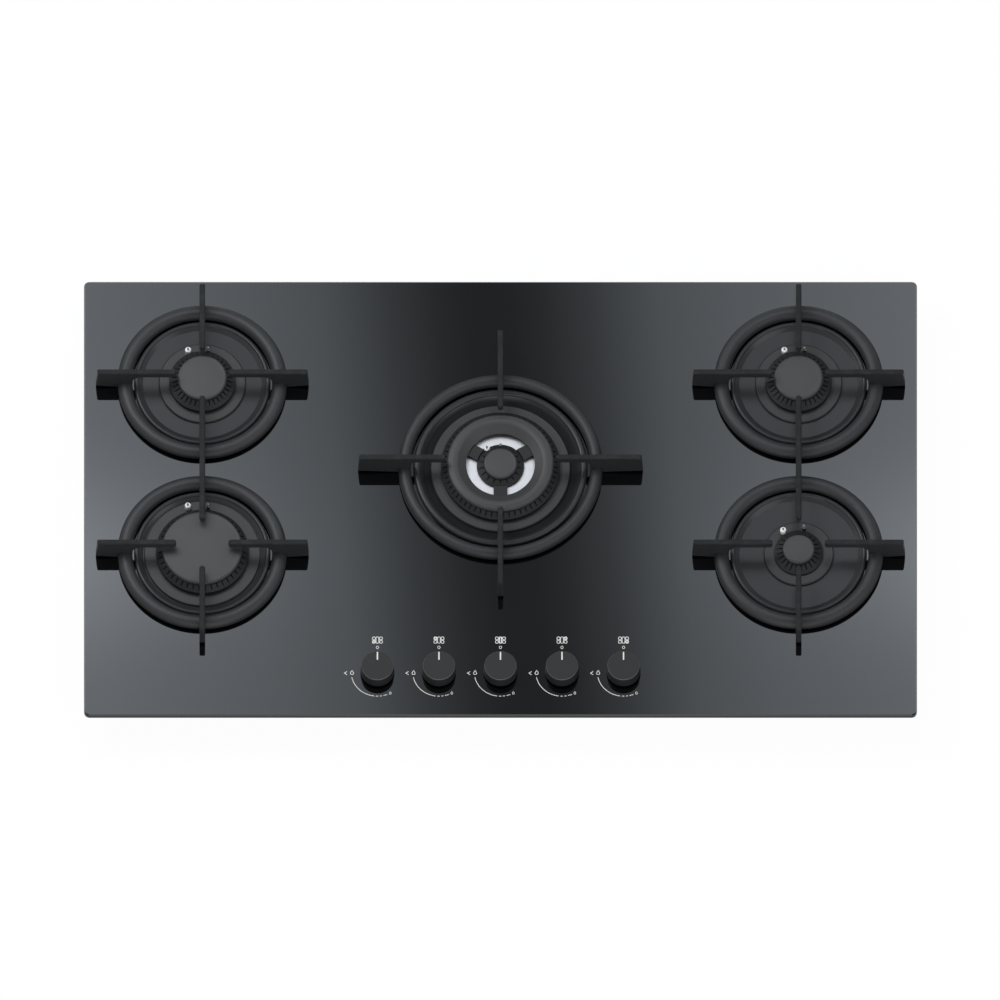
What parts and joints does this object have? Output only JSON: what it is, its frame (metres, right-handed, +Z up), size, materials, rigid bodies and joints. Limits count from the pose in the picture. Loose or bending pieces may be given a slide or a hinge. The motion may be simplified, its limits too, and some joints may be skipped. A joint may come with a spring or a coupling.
{
  "type": "gas cooktop",
  "caption": "Built-in gas cooktop: black glass plate over a steel tray, slotted burners with caps, fin-topped pan supports and push-and-turn control knobs along the front.",
  "frame": {"origin": "under the middle of the glass, on the flat underside of the steel tray", "axes": "+X right along the wide side, +Y to the rear, +Z up"},
  "size_m": [0.88, 0.51, 0.078],
  "materials": {
    "black_glass": "polished, back-painted black",
    "tray_steel": "galvanised",
    "foam_seal": "foam",
    "zinc_screws": "zinc plated",
    "spring_steel": "satin",
    "black_collar": "cast, black coated",
    "brass": "turned",
    "bright_aluminium": "bright cast",
    "black_crown": "cast, black coated",
    "black_enamel": "matt enamel",
    "dish_enamel": "gloss enamel",
    "white_ceramic": "glazed ceramic",
    "electrode_steel": "heat-resisting steel",
    "cast_aluminium": "cast",
    "rubber": "matt",
    "rail_steel": "plated tube",
    "pipe_aluminium": "drawn tube",
    "module_plastic": "moulded",
    "cast_iron": "matt enamelled",
    "knob_black": "satin",
    "stem_steel": "turned"
  },
  "bodies": {
    "hob": {"glass_top": "black_glass", "burner_box": "tray_steel", "worktop_seal": "foam_seal", "burner_rails": "tray_steel", "screws": "zinc_screws", "worktop_clips": "spring_steel", "burner_cups": "black_collar", "injectors": "brass", "mixing_plate_centre": "bright_aluminium", "inner_spreader_centre": "black_crown", "igniter_ceramics": "white_ceramic", "igniter_pins": "electrode_steel", "flame_probes": "electrode_steel", "tap_bodies": "cast_aluminium", "knob_seals": "rubber", "gas_rail": "rail_steel", "gas_inlet": "brass", "feed_pipes": "pipe_aluminium", "ignition_module": "module_plastic", "cable_gland": "module_plastic", "drip_dish_rear_left": "dish_enamel", "drip_dish_front_left": "dish_enamel", "drip_dish_centre": "dish_enamel", "drip_dish_rear_right": "dish_enamel", "drip_dish_front_right": "dish_enamel", "flame_spreader_rear_left": "black_crown", "flame_spreader_front_left": "black_crown", "flame_spreader_centre": "black_crown", "flame_spreader_rear_right": "black_crown", "flame_spreader_front_right": "black_crown"},
    "tap_1": {"tap_plug_1": "brass"},
    "control_1": {"knob_1": "knob_black", "tap_stem_1": "stem_steel"},
    "tap_2": {"tap_plug_2": "brass"},
    "control_2": {"knob_2": "knob_black", "tap_stem_2": "stem_steel"},
    "tap_3": {"tap_plug_3": "brass"},
    "control_3": {"knob_3": "knob_black", "tap_stem_3": "stem_steel"},
    "tap_4": {"tap_plug_4": "brass"},
    "control_4": {"knob_4": "knob_black", "tap_stem_4": "stem_steel"},
    "tap_5": {"tap_plug_5": "brass"},
    "control_5": {"knob_5": "knob_black", "tap_stem_5": "stem_steel"},
    "pan_support_left": {"pan_ring_left": "cast_iron", "pan_fins_left": "cast_iron", "pan_feet_left": "rubber"},
    "pan_support_centre": {"pan_ring_centre": "cast_iron", "pan_fins_centre": "cast_iron", "pan_feet_centre": "rubber"},
    "pan_support_right": {"pan_ring_right": "cast_iron", "pan_fins_right": "cast_iron", "pan_feet_right": "rubber"},
    "cap_rear_left": {"burner_cap_rear_left": "black_enamel"},
    "cap_front_left": {"burner_cap_front_left": "black_enamel"},
    "cap_centre": {"burner_cap_centre": "black_enamel"},
    "cap_rear_right": {"burner_cap_rear_right": "black_enamel"},
    "cap_front_right": {"burner_cap_front_right": "black_enamel"},
    "cap_centre_inner": {"inner_cap_centre": "black_enamel"}
  },
  "joints": [
    {"name": "tap_turn_1", "type": "hinge", "parent": "hob", "child": "tap_1", "pos_m": [-0.13, -0.2045, 0.02], "axis": [0, 0, 1], "range_deg": [0, 210]},
    {"name": "knob_push_1", "type": "slide", "parent": "tap_1", "child": "control_1", "axis": [0, 0, -1], "range_m": [0, 0.003], "stiffness_N_per_m": 1500, "springref_m": -0.004},
    {"name": "tap_turn_2", "type": "hinge", "parent": "hob", "child": "tap_2", "pos_m": [-0.065, -0.2045, 0.02], "axis": [0, 0, 1], "range_deg": [0, 210]},
    {"name": "knob_push_2", "type": "slide", "parent": "tap_2", "child": "control_2", "axis": [0, 0, -1], "range_m": [0, 0.003], "stiffness_N_per_m": 1500, "springref_m": -0.004},
    {"name": "tap_turn_3", "type": "hinge", "parent": "hob", "child": "tap_3", "pos_m": [0, -0.2045, 0.02], "axis": [0, 0, 1], "range_deg": [0, 210]},
    {"name": "knob_push_3", "type": "slide", "parent": "tap_3", "child": "control_3", "axis": [0, 0, -1], "range_m": [0, 0.003], "stiffness_N_per_m": 1500, "springref_m": -0.004},
    {"name": "tap_turn_4", "type": "hinge", "parent": "hob", "child": "tap_4", "pos_m": [0.065, -0.2045, 0.02], "axis": [0, 0, 1], "range_deg": [0, 210]},
    {"name": "knob_push_4", "type": "slide", "parent": "tap_4", "child": "control_4", "axis": [0, 0, -1], "range_m": [0, 0.003], "stiffness_N_per_m": 1500, "springref_m": -0.004},
    {"name": "tap_turn_5", "type": "hinge", "parent": "hob", "child": "tap_5", "pos_m": [0.13, -0.2045, 0.02], "axis": [0, 0, 1], "range_deg": [0, 210]},
    {"name": "knob_push_5", "type": "slide", "parent": "tap_5", "child": "control_5", "axis": [0, 0, -1], "range_m": [0, 0.003], "stiffness_N_per_m": 1500, "springref_m": -0.004},
    {"name": "support_lift_left", "type": "slide", "parent": "hob", "child": "pan_support_left", "axis": [0, 0, 1], "range_m": [0, 0.06]},
    {"name": "support_lift_centre", "type": "slide", "parent": "hob", "child": "pan_support_centre", "axis": [0, 0, 1], "range_m": [0, 0.06]},
    {"name": "support_lift_right", "type": "slide", "parent": "hob", "child": "pan_support_right", "axis": [0, 0, 1], "range_m": [0, 0.06]},
    {"name": "cap_lift_rear_left", "type": "slide", "parent": "hob", "child": "cap_rear_left", "axis": [0, 0, 1], "range_m": [0, 0.04]},
    {"name": "cap_lift_front_left", "type": "slide", "parent": "hob", "child": "cap_front_left", "axis": [0, 0, 1], "range_m": [0, 0.004]},
    {"name": "cap_lift_centre", "type": "slide", "parent": "hob", "child": "cap_centre", "axis": [0, 0, 1], "range_m": [0, 0.04]},
    {"name": "cap_lift_rear_right", "type": "slide", "parent": "hob", "child": "cap_rear_right", "axis": [0, 0, 1], "range_m": [0, 0.04]},
    {"name": "cap_lift_front_right", "type": "slide", "parent": "hob", "child": "cap_front_right", "axis": [0, 0, 1], "range_m": [0, 0.04]},
    {"name": "cap_lift_centre_inner", "type": "slide", "parent": "hob", "child": "cap_centre_inner", "axis": [0, 0, 1], "range_m": [0, 0.04]}
  ]
}
